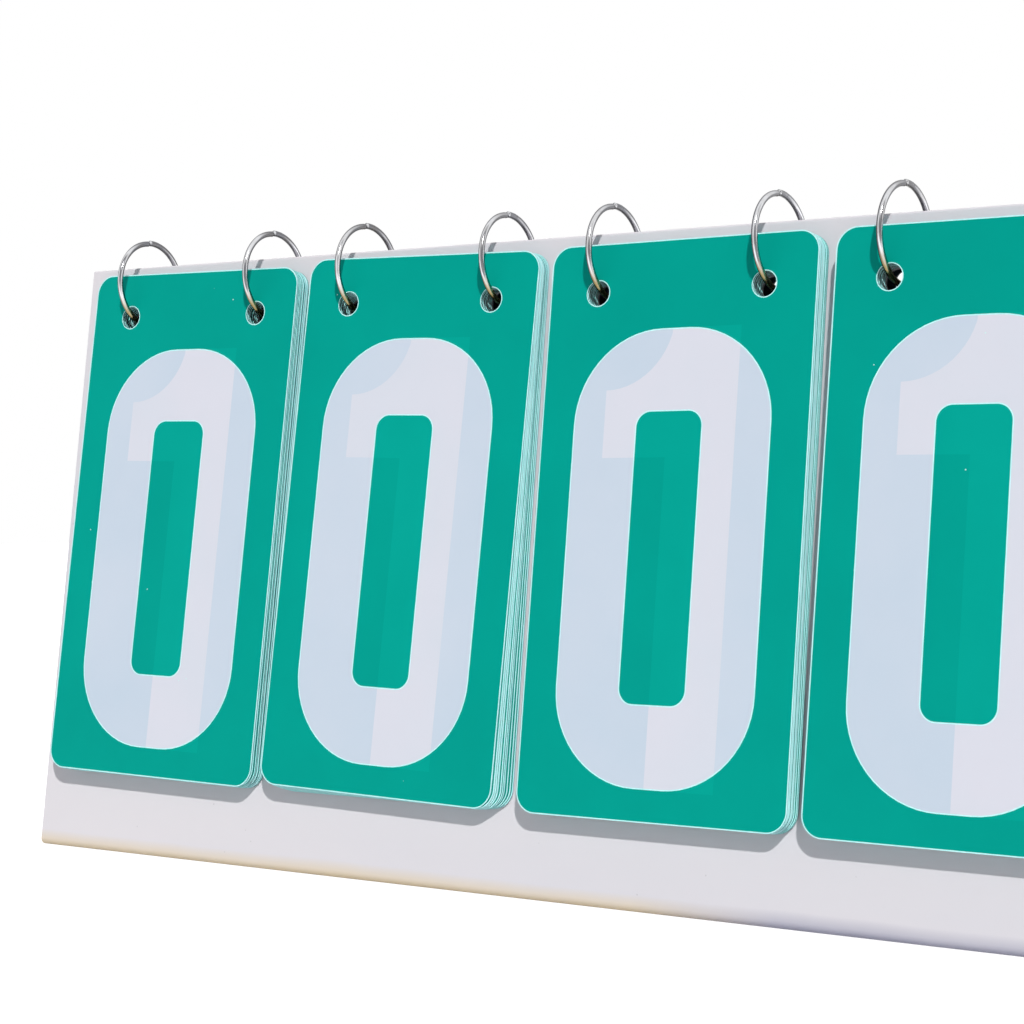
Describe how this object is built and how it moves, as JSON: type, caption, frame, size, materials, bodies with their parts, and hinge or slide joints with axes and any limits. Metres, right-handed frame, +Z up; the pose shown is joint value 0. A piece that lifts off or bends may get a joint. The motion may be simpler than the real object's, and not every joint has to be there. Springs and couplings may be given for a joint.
{
  "type": "tabletop flip scoreboard",
  "caption": "Folding A-frame scoreboard with packets of green and white number cards on binder rings that turn over the ridge.",
  "frame": {"origin": "on the table, below the middle of the ridge", "axes": "+X along the ridge to the viewer's right, -Y the way the cards face, +Z up"},
  "size_m": [0.38, 0.0585, 0.2032],
  "materials": {
    "board": "satin white plastic-faced board",
    "card_print": "green and white print on satin plastic card",
    "ring_nickel": "nickel-plated steel wire",
    "hook_strips": "white hook tape",
    "loop_strips": "white loop tape"
  },
  "bodies": {
    "front": {"front_panel": "board"},
    "back": {"back_panel": "board"},
    "front_flap": {"front_base_flap": "board", "hook_strips": "hook_strips"},
    "back_flap": {"back_base_flap": "board", "loop_strips": "loop_strips"},
    "column_1_packet": {"column_1_card_1": "card_print", "column_1_card_2": "card_print", "column_1_card_3": "card_print", "column_1_card_4": "card_print", "column_1_card_5": "card_print", "column_1_card_6": "card_print", "column_1_card_7": "card_print", "column_1_card_8": "card_print", "column_1_card_9": "card_print"},
    "column_1_rings": {"column_1_left_ring": "ring_nickel", "column_1_right_ring": "ring_nickel"},
    "column_1_front_card": {"column_1_card_0": "card_print"},
    "column_2_packet": {"column_2_card_1": "card_print", "column_2_card_2": "card_print", "column_2_card_3": "card_print", "column_2_card_4": "card_print", "column_2_card_5": "card_print", "column_2_card_6": "card_print", "column_2_card_7": "card_print", "column_2_card_8": "card_print", "column_2_card_9": "card_print"},
    "column_2_rings": {"column_2_left_ring": "ring_nickel", "column_2_right_ring": "ring_nickel"},
    "column_2_front_card": {"column_2_card_0": "card_print"},
    "column_3_packet": {"column_3_card_1": "card_print", "column_3_card_2": "card_print", "column_3_card_3": "card_print", "column_3_card_4": "card_print", "column_3_card_5": "card_print", "column_3_card_6": "card_print", "column_3_card_7": "card_print", "column_3_card_8": "card_print", "column_3_card_9": "card_print"},
    "column_3_rings": {"column_3_left_ring": "ring_nickel", "column_3_right_ring": "ring_nickel"},
    "column_3_front_card": {"column_3_card_0": "card_print"},
    "column_4_packet": {"column_4_card_1": "card_print", "column_4_card_2": "card_print", "column_4_card_3": "card_print", "column_4_card_4": "card_print", "column_4_card_5": "card_print", "column_4_card_6": "card_print", "column_4_card_7": "card_print", "column_4_card_8": "card_print", "column_4_card_9": "card_print"},
    "column_4_rings": {"column_4_left_ring": "ring_nickel", "column_4_right_ring": "ring_nickel"},
    "column_4_front_card": {"column_4_card_0": "card_print"}
  },
  "joints": [
    {"name": "stand_fold", "type": "hinge", "parent": "front", "child": "back", "pos_m": [0, 0, 0.19339], "axis": [1, 0, 0], "range_deg": [-14.5, 0]},
    {"name": "front_flap_fold", "type": "hinge", "parent": "front", "child": "front_flap", "pos_m": [0, -0.02559, 0.002], "axis": [1, 0, 0], "range_deg": [0, 81]},
    {"name": "back_flap_fold", "type": "hinge", "parent": "back", "child": "back_flap", "pos_m": [0, 0.02789, 0], "axis": [1, 0, 0], "range_deg": [0, 98]},
    {"name": "column_1_lift", "type": "hinge", "parent": "front", "child": "column_1_packet", "pos_m": [-0.138, 0.00021, 0.18968], "axis": [1, 0, 0], "range_deg": [-45, 0]},
    {"name": "column_1_flip", "type": "hinge", "parent": "column_1_packet", "child": "column_1_rings", "pos_m": [-0.138, 0.00024, 0.18872], "axis": [-1, 0, 0], "range_deg": [0, 267.7]},
    {"name": "column_1_card_swing", "type": "hinge", "parent": "column_1_rings", "child": "column_1_front_card", "pos_m": [-0.138, -0.00662, 0.18483], "axis": [-1, 0, 0], "range_deg": [0, 74.66]},
    {"name": "column_2_lift", "type": "hinge", "parent": "front", "child": "column_2_packet", "pos_m": [-0.046, 0.00021, 0.18968], "axis": [1, 0, 0], "range_deg": [-45, 0]},
    {"name": "column_2_flip", "type": "hinge", "parent": "column_2_packet", "child": "column_2_rings", "pos_m": [-0.046, 0.00024, 0.18872], "axis": [-1, 0, 0], "range_deg": [0, 267.7]},
    {"name": "column_2_card_swing", "type": "hinge", "parent": "column_2_rings", "child": "column_2_front_card", "pos_m": [-0.046, -0.00662, 0.18483], "axis": [-1, 0, 0], "range_deg": [0, 74.66]},
    {"name": "column_3_lift", "type": "hinge", "parent": "front", "child": "column_3_packet", "pos_m": [0.046, 0.00021, 0.18968], "axis": [1, 0, 0], "range_deg": [-45, 0]},
    {"name": "column_3_flip", "type": "hinge", "parent": "column_3_packet", "child": "column_3_rings", "pos_m": [0.046, 0.00024, 0.18872], "axis": [-1, 0, 0], "range_deg": [0, 267.7]},
    {"name": "column_3_card_swing", "type": "hinge", "parent": "column_3_rings", "child": "column_3_front_card", "pos_m": [0.046, -0.00662, 0.18483], "axis": [-1, 0, 0], "range_deg": [0, 74.66]},
    {"name": "column_4_lift", "type": "hinge", "parent": "front", "child": "column_4_packet", "pos_m": [0.138, 0.00021, 0.18968], "axis": [1, 0, 0], "range_deg": [-45, 0]},
    {"name": "column_4_flip", "type": "hinge", "parent": "column_4_packet", "child": "column_4_rings", "pos_m": [0.138, 0.00024, 0.18872], "axis": [-1, 0, 0], "range_deg": [0, 267.7]},
    {"name": "column_4_card_swing", "type": "hinge", "parent": "column_4_rings", "child": "column_4_front_card", "pos_m": [0.138, -0.00662, 0.18483], "axis": [-1, 0, 0], "range_deg": [0, 74.66]}
  ],
  "couplings": [
    {"joint": "front_flap_fold", "follows": "stand_fold", "ratio": -5.5862},
    {"joint": "back_flap_fold", "follows": "stand_fold", "ratio": -6.7586},
    {"joint": "column_1_card_swing", "follows": "column_1_flip", "ratio": 0.27886},
    {"joint": "column_2_card_swing", "follows": "column_2_flip", "ratio": 0.27886},
    {"joint": "column_3_card_swing", "follows": "column_3_flip", "ratio": 0.27886},
    {"joint": "column_4_card_swing", "follows": "column_4_flip", "ratio": 0.27886}
  ]
}
